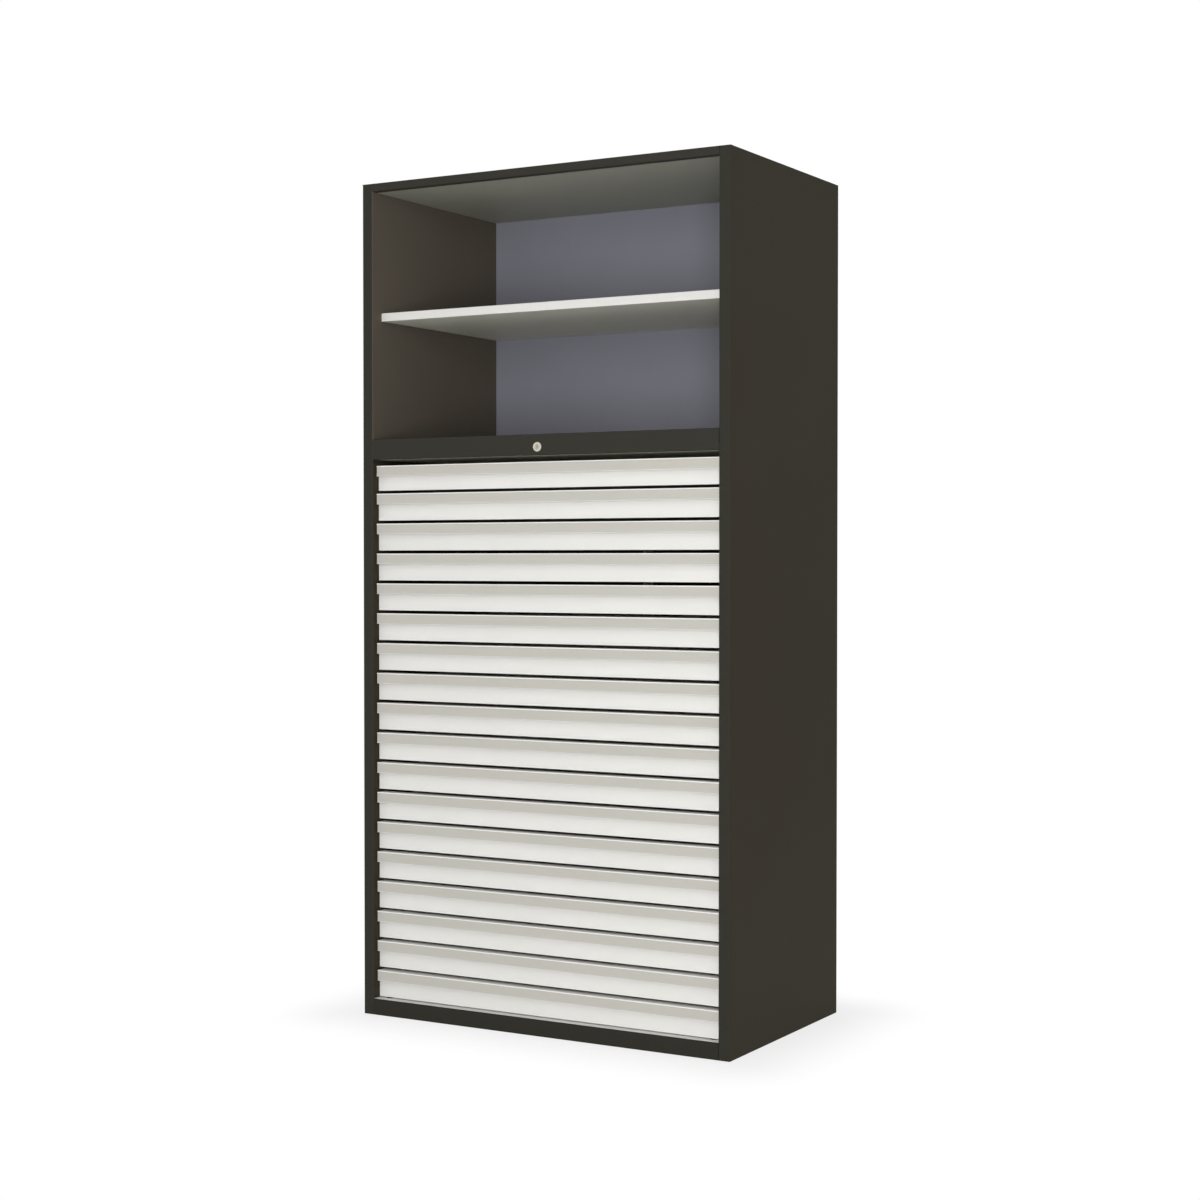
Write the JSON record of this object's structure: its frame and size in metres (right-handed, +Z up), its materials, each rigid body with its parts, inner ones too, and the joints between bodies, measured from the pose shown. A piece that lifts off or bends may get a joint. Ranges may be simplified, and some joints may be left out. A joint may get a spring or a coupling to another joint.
{
  "type": "combination storage cabinet",
  "caption": "Tall dark steel cabinet with an open shelf compartment above a lock rail and a bank of shallow pale full-width drawers on telescopic slides.",
  "frame": {"origin": "middle of the footprint, on the floor", "axes": "+Z up, the front with the drawers faces -Y, +X to the right of someone facing the front"},
  "size_m": [1.037, 0.611, 2.1],
  "materials": {
    "graphite_paint": "satin powder coat, warm graphite",
    "wall_paint": "satin powder coat, warm grey",
    "grey_paint": "satin powder coat, mid grey",
    "lavender_paint": "satin powder coat, lavender grey",
    "light_paint": "satin powder coat, light grey",
    "zinc_plate": "bright zinc plate",
    "lock_metal": "satin nickel plate",
    "guide_nylon": "natural nylon"
  },
  "bodies": {
    "cabinet": {"side_panel_left": "graphite_paint", "side_panel_right": "graphite_paint", "side_lining_left": "wall_paint", "side_lining_right": "wall_paint", "top_panel": "graphite_paint", "ceiling_lining": "grey_paint", "plinth_frame": "graphite_paint", "bay_floor": "light_paint", "lock_rail_deck": "graphite_paint", "bay_ceiling": "light_paint", "back_panel": "graphite_paint", "back_lining": "lavender_paint", "shelf": "light_paint", "shelf_underside": "light_paint", "shelf_pegs": "zinc_plate", "slide_runners_left": "zinc_plate", "slide_runners_right": "zinc_plate", "lock_housing": "lock_metal", "lock_nut": "zinc_plate", "lock_bar_guides": "guide_nylon"},
    "lock_cylinder": {"lock_plug": "lock_metal", "lock_spindle": "zinc_plate", "lock_crank": "zinc_plate"},
    "lock_bar": {"lock_bar": "zinc_plate"},
    "drawer_01": {"drawer_01": "light_paint"},
    "slide_pair_01": {"slide_pair_01": "zinc_plate"},
    "drawer_02": {"drawer_02": "light_paint"},
    "slide_pair_02": {"slide_pair_02": "zinc_plate"},
    "drawer_03": {"drawer_03": "light_paint"},
    "slide_pair_03": {"slide_pair_03": "zinc_plate"},
    "drawer_04": {"drawer_04": "light_paint"},
    "slide_pair_04": {"slide_pair_04": "zinc_plate"},
    "drawer_05": {"drawer_05": "light_paint"},
    "slide_pair_05": {"slide_pair_05": "zinc_plate"},
    "drawer_06": {"drawer_06": "light_paint"},
    "slide_pair_06": {"slide_pair_06": "zinc_plate"},
    "drawer_07": {"drawer_07": "light_paint"},
    "slide_pair_07": {"slide_pair_07": "zinc_plate"},
    "drawer_08": {"drawer_08": "light_paint"},
    "slide_pair_08": {"slide_pair_08": "zinc_plate"},
    "drawer_09": {"drawer_09": "light_paint"},
    "slide_pair_09": {"slide_pair_09": "zinc_plate"},
    "drawer_10": {"drawer_10": "light_paint"},
    "slide_pair_10": {"slide_pair_10": "zinc_plate"},
    "drawer_11": {"drawer_11": "light_paint"},
    "slide_pair_11": {"slide_pair_11": "zinc_plate"},
    "drawer_12": {"drawer_12": "light_paint"},
    "slide_pair_12": {"slide_pair_12": "zinc_plate"},
    "drawer_13": {"drawer_13": "light_paint"},
    "slide_pair_13": {"slide_pair_13": "zinc_plate"},
    "drawer_14": {"drawer_14": "light_paint"},
    "slide_pair_14": {"slide_pair_14": "zinc_plate"},
    "drawer_15": {"drawer_15": "light_paint"},
    "slide_pair_15": {"slide_pair_15": "zinc_plate"},
    "drawer_16": {"drawer_16": "light_paint"},
    "slide_pair_16": {"slide_pair_16": "zinc_plate"},
    "drawer_17": {"drawer_17": "light_paint"},
    "slide_pair_17": {"slide_pair_17": "zinc_plate"},
    "drawer_18": {"drawer_18": "light_paint"},
    "slide_pair_18": {"slide_pair_18": "zinc_plate"}
  },
  "joints": [
    {"name": "lock_bar_lift", "type": "slide", "parent": "cabinet", "child": "lock_bar", "axis": [0, 0, 1], "range_m": [0, 0.01202]},
    {"name": "lock_turn", "type": "hinge", "parent": "cabinet", "child": "lock_cylinder", "pos_m": [0, -0.3045, 1.4256], "axis": [0, 1, 0], "range_deg": [0, 90]},
    {"name": "drawer_01_pull", "type": "slide", "parent": "cabinet", "child": "drawer_01", "axis": [0, -1, 0], "range_m": [0, 0.48]},
    {"name": "slide_pair_01_run", "type": "slide", "parent": "cabinet", "child": "slide_pair_01", "axis": [0, -1, 0], "range_m": [0, 0.24]},
    {"name": "drawer_02_pull", "type": "slide", "parent": "cabinet", "child": "drawer_02", "axis": [0, -1, 0], "range_m": [0, 0.48]},
    {"name": "slide_pair_02_run", "type": "slide", "parent": "cabinet", "child": "slide_pair_02", "axis": [0, -1, 0], "range_m": [0, 0.24]},
    {"name": "drawer_03_pull", "type": "slide", "parent": "cabinet", "child": "drawer_03", "axis": [0, -1, 0], "range_m": [0, 0.48]},
    {"name": "slide_pair_03_run", "type": "slide", "parent": "cabinet", "child": "slide_pair_03", "axis": [0, -1, 0], "range_m": [0, 0.24]},
    {"name": "drawer_04_pull", "type": "slide", "parent": "cabinet", "child": "drawer_04", "axis": [0, -1, 0], "range_m": [0, 0.48]},
    {"name": "slide_pair_04_run", "type": "slide", "parent": "cabinet", "child": "slide_pair_04", "axis": [0, -1, 0], "range_m": [0, 0.24]},
    {"name": "drawer_05_pull", "type": "slide", "parent": "cabinet", "child": "drawer_05", "axis": [0, -1, 0], "range_m": [0, 0.48]},
    {"name": "slide_pair_05_run", "type": "slide", "parent": "cabinet", "child": "slide_pair_05", "axis": [0, -1, 0], "range_m": [0, 0.24]},
    {"name": "drawer_06_pull", "type": "slide", "parent": "cabinet", "child": "drawer_06", "axis": [0, -1, 0], "range_m": [0, 0.48]},
    {"name": "slide_pair_06_run", "type": "slide", "parent": "cabinet", "child": "slide_pair_06", "axis": [0, -1, 0], "range_m": [0, 0.24]},
    {"name": "drawer_07_pull", "type": "slide", "parent": "cabinet", "child": "drawer_07", "axis": [0, -1, 0], "range_m": [0, 0.48]},
    {"name": "slide_pair_07_run", "type": "slide", "parent": "cabinet", "child": "slide_pair_07", "axis": [0, -1, 0], "range_m": [0, 0.24]},
    {"name": "drawer_08_pull", "type": "slide", "parent": "cabinet", "child": "drawer_08", "axis": [0, -1, 0], "range_m": [0, 0.48]},
    {"name": "slide_pair_08_run", "type": "slide", "parent": "cabinet", "child": "slide_pair_08", "axis": [0, -1, 0], "range_m": [0, 0.24]},
    {"name": "drawer_09_pull", "type": "slide", "parent": "cabinet", "child": "drawer_09", "axis": [0, -1, 0], "range_m": [0, 0.48]},
    {"name": "slide_pair_09_run", "type": "slide", "parent": "cabinet", "child": "slide_pair_09", "axis": [0, -1, 0], "range_m": [0, 0.24]},
    {"name": "drawer_10_pull", "type": "slide", "parent": "cabinet", "child": "drawer_10", "axis": [0, -1, 0], "range_m": [0, 0.48]},
    {"name": "slide_pair_10_run", "type": "slide", "parent": "cabinet", "child": "slide_pair_10", "axis": [0, -1, 0], "range_m": [0, 0.24]},
    {"name": "drawer_11_pull", "type": "slide", "parent": "cabinet", "child": "drawer_11", "axis": [0, -1, 0], "range_m": [0, 0.48]},
    {"name": "slide_pair_11_run", "type": "slide", "parent": "cabinet", "child": "slide_pair_11", "axis": [0, -1, 0], "range_m": [0, 0.24]},
    {"name": "drawer_12_pull", "type": "slide", "parent": "cabinet", "child": "drawer_12", "axis": [0, -1, 0], "range_m": [0, 0.48]},
    {"name": "slide_pair_12_run", "type": "slide", "parent": "cabinet", "child": "slide_pair_12", "axis": [0, -1, 0], "range_m": [0, 0.24]},
    {"name": "drawer_13_pull", "type": "slide", "parent": "cabinet", "child": "drawer_13", "axis": [0, -1, 0], "range_m": [0, 0.48]},
    {"name": "slide_pair_13_run", "type": "slide", "parent": "cabinet", "child": "slide_pair_13", "axis": [0, -1, 0], "range_m": [0, 0.24]},
    {"name": "drawer_14_pull", "type": "slide", "parent": "cabinet", "child": "drawer_14", "axis": [0, -1, 0], "range_m": [0, 0.48]},
    {"name": "slide_pair_14_run", "type": "slide", "parent": "cabinet", "child": "slide_pair_14", "axis": [0, -1, 0], "range_m": [0, 0.24]},
    {"name": "drawer_15_pull", "type": "slide", "parent": "cabinet", "child": "drawer_15", "axis": [0, -1, 0], "range_m": [0, 0.48]},
    {"name": "slide_pair_15_run", "type": "slide", "parent": "cabinet", "child": "slide_pair_15", "axis": [0, -1, 0], "range_m": [0, 0.24]},
    {"name": "drawer_16_pull", "type": "slide", "parent": "cabinet", "child": "drawer_16", "axis": [0, -1, 0], "range_m": [0, 0.48]},
    {"name": "slide_pair_16_run", "type": "slide", "parent": "cabinet", "child": "slide_pair_16", "axis": [0, -1, 0], "range_m": [0, 0.24]},
    {"name": "drawer_17_pull", "type": "slide", "parent": "cabinet", "child": "drawer_17", "axis": [0, -1, 0], "range_m": [0, 0.48]},
    {"name": "slide_pair_17_run", "type": "slide", "parent": "cabinet", "child": "slide_pair_17", "axis": [0, -1, 0], "range_m": [0, 0.24]},
    {"name": "drawer_18_pull", "type": "slide", "parent": "cabinet", "child": "drawer_18", "axis": [0, -1, 0], "range_m": [0, 0.48]},
    {"name": "slide_pair_18_run", "type": "slide", "parent": "cabinet", "child": "slide_pair_18", "axis": [0, -1, 0], "range_m": [0, 0.24]}
  ],
  "couplings": [
    {"joint": "lock_turn", "follows": "lock_bar_lift", "rad_per_m": 130.67},
    {"joint": "slide_pair_01_run", "follows": "drawer_01_pull", "ratio": 0.5},
    {"joint": "slide_pair_02_run", "follows": "drawer_02_pull", "ratio": 0.5},
    {"joint": "slide_pair_03_run", "follows": "drawer_03_pull", "ratio": 0.5},
    {"joint": "slide_pair_04_run", "follows": "drawer_04_pull", "ratio": 0.5},
    {"joint": "slide_pair_05_run", "follows": "drawer_05_pull", "ratio": 0.5},
    {"joint": "slide_pair_06_run", "follows": "drawer_06_pull", "ratio": 0.5},
    {"joint": "slide_pair_07_run", "follows": "drawer_07_pull", "ratio": 0.5},
    {"joint": "slide_pair_08_run", "follows": "drawer_08_pull", "ratio": 0.5},
    {"joint": "slide_pair_09_run", "follows": "drawer_09_pull", "ratio": 0.5},
    {"joint": "slide_pair_10_run", "follows": "drawer_10_pull", "ratio": 0.5},
    {"joint": "slide_pair_11_run", "follows": "drawer_11_pull", "ratio": 0.5},
    {"joint": "slide_pair_12_run", "follows": "drawer_12_pull", "ratio": 0.5},
    {"joint": "slide_pair_13_run", "follows": "drawer_13_pull", "ratio": 0.5},
    {"joint": "slide_pair_14_run", "follows": "drawer_14_pull", "ratio": 0.5},
    {"joint": "slide_pair_15_run", "follows": "drawer_15_pull", "ratio": 0.5},
    {"joint": "slide_pair_16_run", "follows": "drawer_16_pull", "ratio": 0.5},
    {"joint": "slide_pair_17_run", "follows": "drawer_17_pull", "ratio": 0.5},
    {"joint": "slide_pair_18_run", "follows": "drawer_18_pull", "ratio": 0.5}
  ]
}
